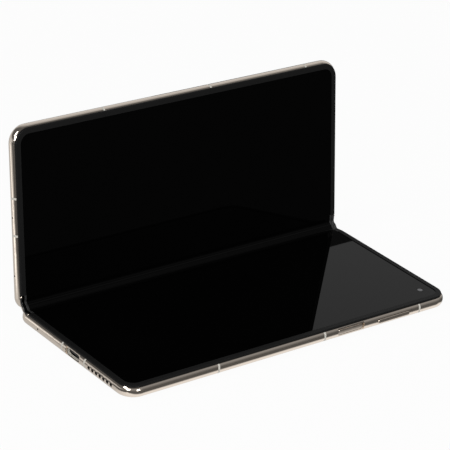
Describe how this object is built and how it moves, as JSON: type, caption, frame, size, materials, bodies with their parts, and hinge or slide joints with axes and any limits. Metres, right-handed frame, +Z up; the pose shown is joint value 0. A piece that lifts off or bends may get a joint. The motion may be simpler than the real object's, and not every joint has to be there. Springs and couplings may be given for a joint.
{
  "type": "foldable smartphone",
  "caption": "Thin book-style foldable phone standing open at about a right angle on a geared two-axis hinge, with a flexible inner display.",
  "frame": {"origin": "bottom centre of the bounding box, on the surface under the camera island", "axes": "+X along the hinge, +Z up, -Y towards the free edge of the lower half that lies flat; the upper half stands at the back"},
  "size_m": [0.1568, 0.0864, 0.0777],
  "materials": {
    "champagne_metal": "polished anodised champagne frame",
    "antenna_polymer": "satin polymer inlay",
    "back_glass": "satin cream back cover",
    "island_metal": "fine blasted metal",
    "lens_ring": "turned and polished ring",
    "lens_glass": "dark coated lens cover",
    "flash_lens": "frosted diffuser",
    "black_part": "black moulded parts inside",
    "pouch_cell": "laminate pouch with film",
    "circuit_board": "solder mask with shield cans",
    "usb_steel": "drawn steel sleeve",
    "display_glass": "black glossy display",
    "flex_display": "black glossy flexible display film",
    "rim_polymer": "soft black rim",
    "button_metal": "polished keys in the frame colour",
    "cover_glass": "black cover display glass",
    "hinge_steel": "sintered steel hinge parts",
    "gear_steel": "cut gears",
    "screw_steel": "small screws",
    "spine_metal": "satin spine cover",
    "wing_steel": "thin support plates"
  },
  "bodies": {
    "lower_half": {"lower_frame": "champagne_metal", "lower_antenna_bands": "antenna_polymer", "lower_battery": "pouch_cell", "lower_display": "display_glass", "lower_rim": "rim_polymer", "lower_hinge_arms": "hinge_steel", "lower_arm_screws": "screw_steel", "lower_display_strip": "flex_display", "back_cover": "back_glass", "camera_island": "island_metal", "camera_lens_rings": "lens_ring", "camera_lens_glass": "lens_glass", "camera_modules": "black_part", "flash_window": "flash_lens", "main_board": "circuit_board", "sub_board": "circuit_board", "usb_receptacle": "usb_steel", "usb_tongue": "black_part", "speaker_module": "black_part", "vibration_motor": "usb_steel", "inner_camera": "lens_glass"},
    "spine": {"spine_cover": "spine_metal", "spine_end_caps": "spine_metal", "hinge_brackets": "hinge_steel", "bracket_screws": "screw_steel", "hinge_shafts": "gear_steel", "friction_washers": "gear_steel"},
    "upper_half": {"upper_frame": "champagne_metal", "upper_antenna_bands": "antenna_polymer", "upper_battery": "pouch_cell", "upper_board": "circuit_board", "upper_display": "display_glass", "upper_rim": "rim_polymer", "upper_hinge_arms": "hinge_steel", "upper_arm_screws": "screw_steel", "upper_display_strip": "flex_display", "cover_display": "cover_glass", "cover_camera": "lens_glass"},
    "idler_1": {"idler_gears_lower": "gear_steel"},
    "idler_2": {"idler_gears_upper": "gear_steel"},
    "lower_wing": {"lower_wing": "wing_steel"},
    "upper_wing": {"upper_wing": "wing_steel"},
    "power_key": {"power_button": "button_metal"},
    "volume_key": {"volume_rocker": "button_metal"},
    "tray": {"sim_tray": "button_metal"}
  },
  "joints": [
    {"name": "lower_fold", "type": "hinge", "parent": "lower_half", "child": "spine", "pos_m": [0, 0.02788, 0.0046], "axis": [1, 0, 0], "range_deg": [-41.2, 48.8], "deforming": ["lower_display_strip"]},
    {"name": "upper_fold", "type": "hinge", "parent": "spine", "child": "upper_half", "pos_m": [0, 0.03142, 0.0077], "axis": [1, 0, 0], "range_deg": [-41.2, 48.8], "deforming": ["upper_display_strip"]},
    {"name": "idler_1_spin", "type": "hinge", "parent": "spine", "child": "idler_1", "pos_m": [0, 0.02906, 0.00563], "axis": [1, 0, 0], "range_deg": [-41.2, 48.8]},
    {"name": "idler_2_spin", "type": "hinge", "parent": "spine", "child": "idler_2", "pos_m": [0, 0.03024, 0.00666], "axis": [1, 0, 0], "range_deg": [-48.8, 41.2]},
    {"name": "lower_wing_tilt", "type": "hinge", "parent": "lower_half", "child": "lower_wing", "pos_m": [0, 0.02413, 0.0057], "axis": [1, 0, 0], "range_deg": [-7.82, 6.6]},
    {"name": "upper_wing_tilt", "type": "hinge", "parent": "upper_half", "child": "upper_wing", "pos_m": [0, 0.03082, 0.01156], "axis": [1, 0, 0], "range_deg": [-6.6, 7.82]},
    {"name": "power_key_press", "type": "slide", "parent": "lower_half", "child": "power_key", "axis": [0, 1, 0], "range_m": [0, 0.0003], "stiffness_N_per_m": 3000, "springref_m": -0.0003},
    {"name": "volume_key_press", "type": "slide", "parent": "lower_half", "child": "volume_key", "axis": [0, 1, 0], "range_m": [0, 0.0003], "stiffness_N_per_m": 3000, "springref_m": -0.0003},
    {"name": "tray_slide", "type": "slide", "parent": "lower_half", "child": "tray", "axis": [1, 0, 0], "range_m": [0, 0.018]}
  ],
  "couplings": [
    {"joint": "upper_fold", "follows": "lower_fold", "ratio": 1},
    {"joint": "idler_1_spin", "follows": "lower_fold", "ratio": 1},
    {"joint": "idler_2_spin", "follows": "lower_fold", "ratio": -1},
    {"joint": "lower_wing_tilt", "follows": "lower_fold", "ratio": -0.16},
    {"joint": "upper_wing_tilt", "follows": "lower_fold", "ratio": 0.16}
  ]
}
